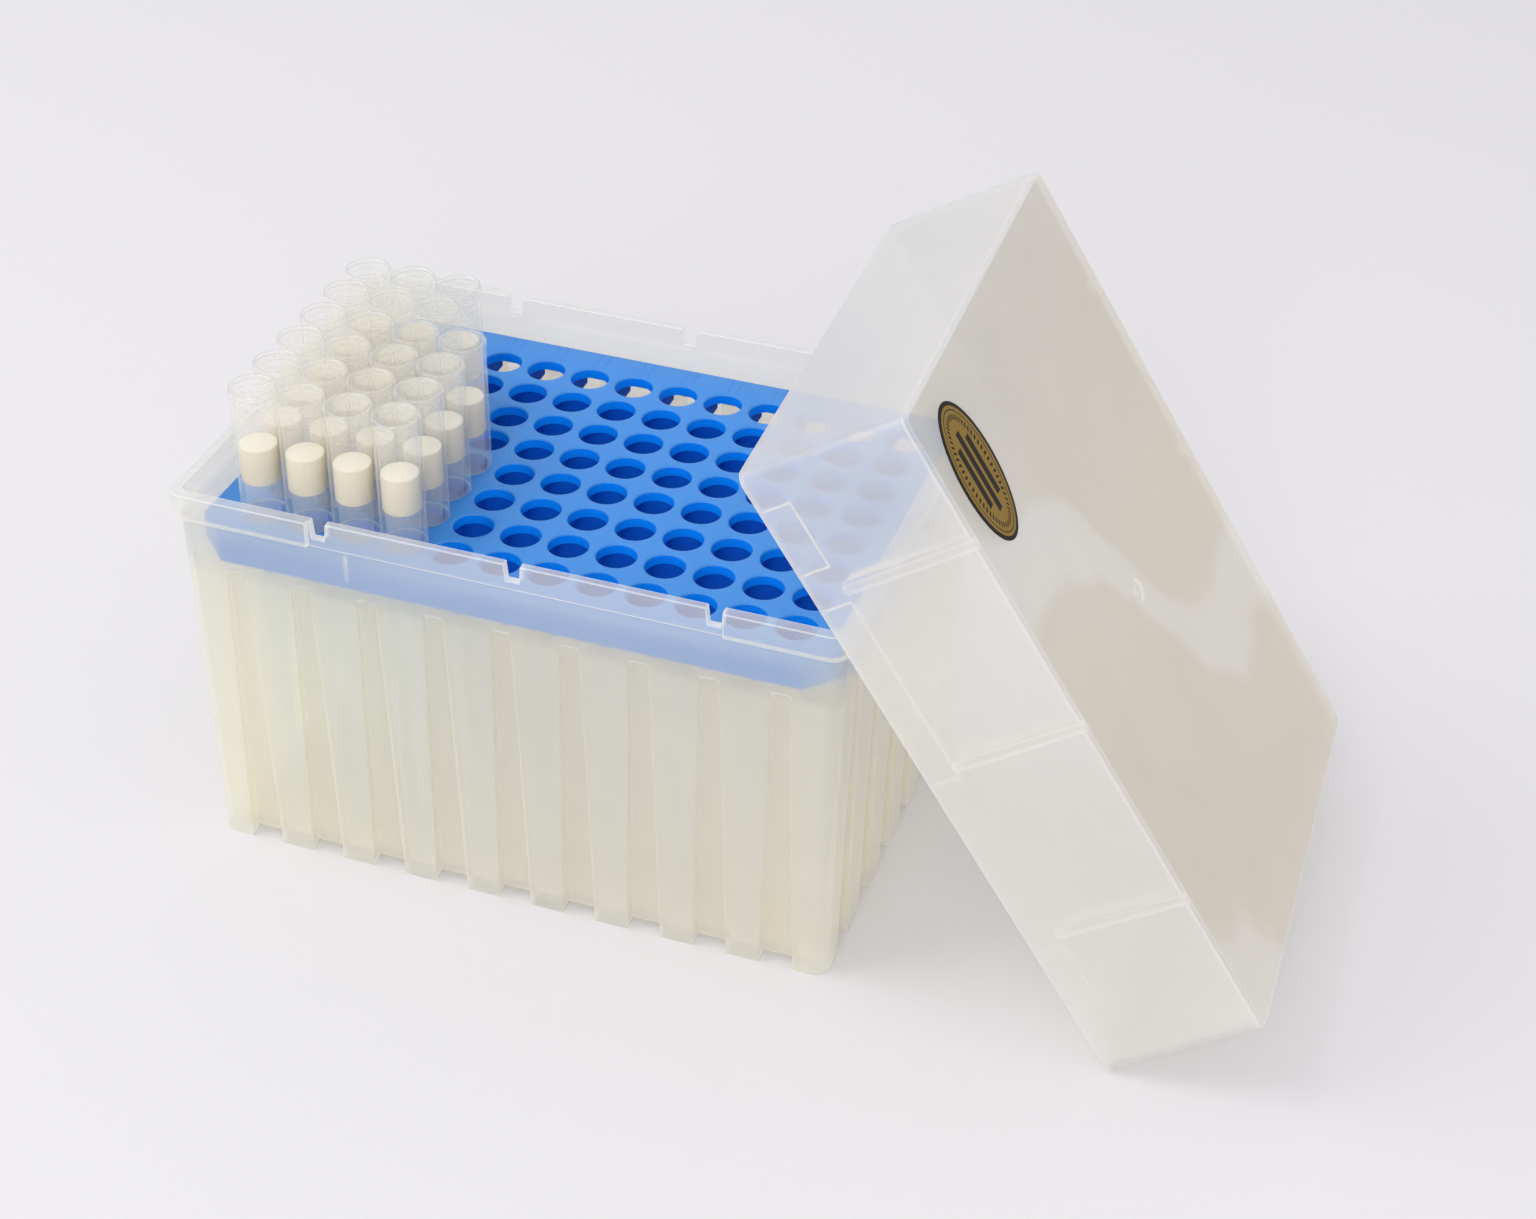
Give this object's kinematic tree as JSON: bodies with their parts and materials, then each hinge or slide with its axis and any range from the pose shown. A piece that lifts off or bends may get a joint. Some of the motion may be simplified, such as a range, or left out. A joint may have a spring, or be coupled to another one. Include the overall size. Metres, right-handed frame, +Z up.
{
  "type": "box of pipette tips",
  "caption": "Laboratory box of filter pipette tips: a corrugated milky tub, a blue perforated deck with part of its tips left, and a deep loose lid leaning on the rim.",
  "frame": {"origin": "the middle of the tub's footprint, on the surface that its feet stand on; the deck's hole grid has its middle straight above it", "axes": "+X along the box, from the end where the tips are left to the end where the lid leans; +Y across it, from the front to the back; +Z up"},
  "size_m": [0.1991, 0.093, 0.1219],
  "materials": {
    "tub_plastic": "satin, milky and faintly yellow",
    "lid_plastic": "hazy, nearly clear",
    "deck_plastic": "satin",
    "tip_plastic": "clear and glossy",
    "filter_foam": "porous, matt",
    "label_foil": "satin gold print"
  },
  "bodies": {
    "root": {"tub": "tub_plastic", "rack_deck": "deck_plastic", "lid": "lid_plastic", "lid_label": "label_foil", "tip_01": "tip_plastic", "tip_02": "tip_plastic", "tip_03": "tip_plastic", "tip_04": "tip_plastic", "tip_05": "tip_plastic", "tip_06": "tip_plastic", "tip_07": "tip_plastic", "tip_08": "tip_plastic", "tip_09": "tip_plastic", "tip_10": "tip_plastic", "tip_11": "tip_plastic", "tip_12": "tip_plastic", "tip_13": "tip_plastic", "tip_14": "tip_plastic", "tip_15": "tip_plastic", "tip_16": "tip_plastic", "tip_17": "tip_plastic", "tip_18": "tip_plastic", "tip_19": "tip_plastic", "tip_20": "tip_plastic", "tip_21": "tip_plastic", "tip_22": "tip_plastic", "filter_01": "filter_foam", "filter_02": "filter_foam", "filter_03": "filter_foam", "filter_04": "filter_foam", "filter_05": "filter_foam", "filter_06": "filter_foam", "filter_07": "filter_foam", "filter_08": "filter_foam", "filter_09": "filter_foam", "filter_10": "filter_foam", "filter_11": "filter_foam", "filter_12": "filter_foam", "filter_13": "filter_foam", "filter_14": "filter_foam", "filter_15": "filter_foam", "filter_16": "filter_foam", "filter_17": "filter_foam", "filter_18": "filter_foam", "filter_19": "filter_foam", "filter_20": "filter_foam", "filter_21": "filter_foam", "filter_22": "filter_foam"}
  },
  "joints": []
}
